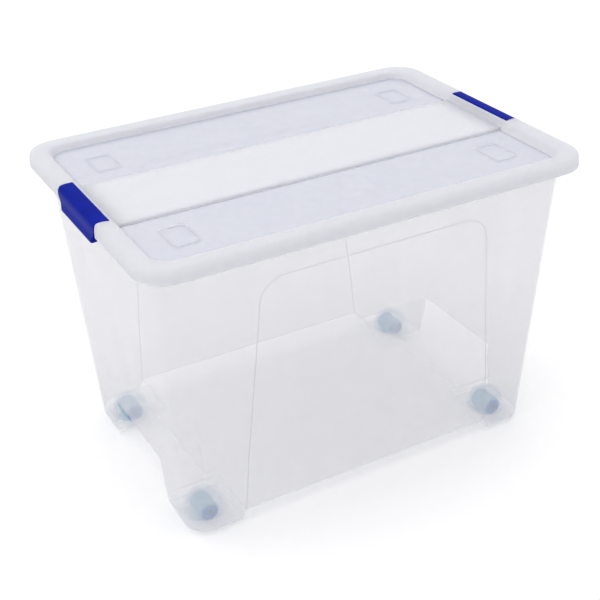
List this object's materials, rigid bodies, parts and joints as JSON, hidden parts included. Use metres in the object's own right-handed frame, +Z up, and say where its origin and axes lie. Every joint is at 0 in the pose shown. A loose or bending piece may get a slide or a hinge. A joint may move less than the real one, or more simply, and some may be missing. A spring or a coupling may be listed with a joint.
{
  "type": "rolling storage box with clip lid",
  "caption": "Tall translucent storage box on small rollers, with a stepped stacking lid held by a hinged clip at each end.",
  "frame": {"origin": "on the floor under the middle of the box, level with the bottoms of the rollers", "axes": "+X along the box's length, towards one clip end; +Y across the width, so the front long wall faces -Y; +Z up"},
  "size_m": [0.6048, 0.4224, 0.4081],
  "materials": {
    "clear_plastic": "translucent natural polypropylene, glossy outside, faintly hazy",
    "frosted_plastic": "milky translucent polypropylene, fine frosted band between clearer panels",
    "blue_plastic": "satin royal blue moulded plastic",
    "grey_plastic": "matt blue-grey moulded plastic",
    "steel": "plain drawn steel pin"
  },
  "bodies": {
    "tub": {"tub": "clear_plastic", "axle_pin_rear_right": "steel", "axle_pin_rear_left": "steel", "axle_pin_front_left": "steel", "axle_pin_front_right": "steel"},
    "lid": {"lid": "frosted_plastic"},
    "clip_left": {"clip_left": "blue_plastic"},
    "clip_right": {"clip_right": "blue_plastic"},
    "roller_rear_right": {"roller_rear_right": "grey_plastic"},
    "roller_rear_left": {"roller_rear_left": "grey_plastic"},
    "roller_front_left": {"roller_front_left": "grey_plastic"},
    "roller_front_right": {"roller_front_right": "grey_plastic"}
  },
  "joints": [
    {"name": "lid_lift", "type": "slide", "parent": "tub", "child": "lid", "axis": [0, 0, 1], "range_m": [0, 0.3]},
    {"name": "clip_left_swing", "type": "hinge", "parent": "lid", "child": "clip_left", "pos_m": [-0.2818, 0, 0.4063], "axis": [0, 1, 0], "range_deg": [0, 95]},
    {"name": "clip_right_swing", "type": "hinge", "parent": "lid", "child": "clip_right", "pos_m": [0.2818, 0, 0.4063], "axis": [0, -1, 0], "range_deg": [0, 95]},
    {"name": "roller_rear_right_spin", "type": "hinge", "parent": "tub", "child": "roller_rear_right", "pos_m": [0.222, 0.126, 0.0135], "axis": [0, 1, 0], "continuous": true},
    {"name": "roller_rear_left_spin", "type": "hinge", "parent": "tub", "child": "roller_rear_left", "pos_m": [-0.222, 0.126, 0.0135], "axis": [0, 1, 0], "continuous": true},
    {"name": "roller_front_left_spin", "type": "hinge", "parent": "tub", "child": "roller_front_left", "pos_m": [-0.222, -0.126, 0.0135], "axis": [0, 1, 0], "continuous": true},
    {"name": "roller_front_right_spin", "type": "hinge", "parent": "tub", "child": "roller_front_right", "pos_m": [0.222, -0.126, 0.0135], "axis": [0, 1, 0], "continuous": true}
  ]
}
